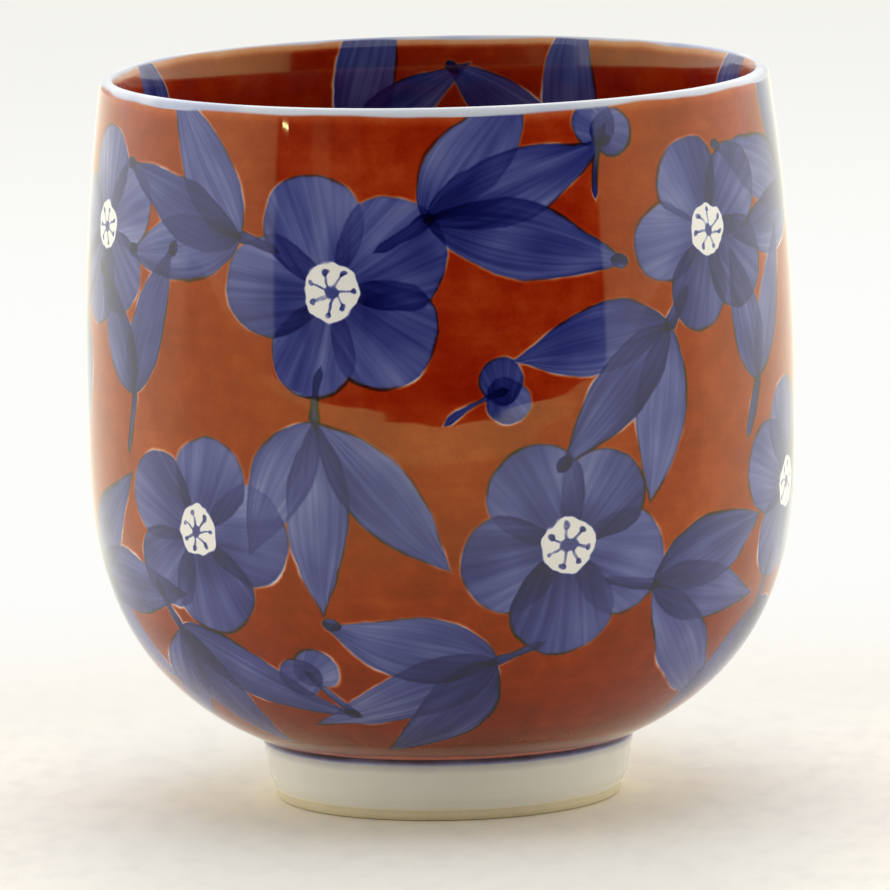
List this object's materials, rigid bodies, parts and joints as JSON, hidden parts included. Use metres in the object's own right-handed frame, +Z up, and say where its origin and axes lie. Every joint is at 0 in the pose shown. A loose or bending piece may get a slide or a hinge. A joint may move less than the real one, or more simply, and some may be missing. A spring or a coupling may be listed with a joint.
{
  "type": "yunomi teacup",
  "caption": "Tall handleless porcelain teacup on a tapered foot ring, with a rounded pale lip and a painted red enamel coat with cobalt brushwork inside and out.",
  "frame": {"origin": "centre of the foot's resting face, on the surface that the cup stands on", "axes": "+Z up along the cup's axis of revolution; -Y faces the viewer of the picture, +X to the viewer's right"},
  "size_m": [0.08, 0.08, 0.0823],
  "materials": {
    "porcelain": "bare fired porcelain, matte",
    "lip_glaze": "glossy pale blue-white glaze",
    "painted_enamel": "glossy iron-red enamel with cobalt brushwork",
    "cobalt_line": "glossy brushed cobalt under glaze",
    "clear_glaze": "glossy clear glaze over white porcelain"
  },
  "bodies": {
    "root": {"porcelain_body": "porcelain", "foot_ring": "porcelain", "lip_glaze": "lip_glaze", "outer_enamel": "painted_enamel", "inner_enamel": "painted_enamel", "well_line": "cobalt_line", "foot_line": "cobalt_line", "well_glaze": "clear_glaze", "foot_glaze": "clear_glaze", "underside_glaze": "clear_glaze"}
  },
  "joints": []
}
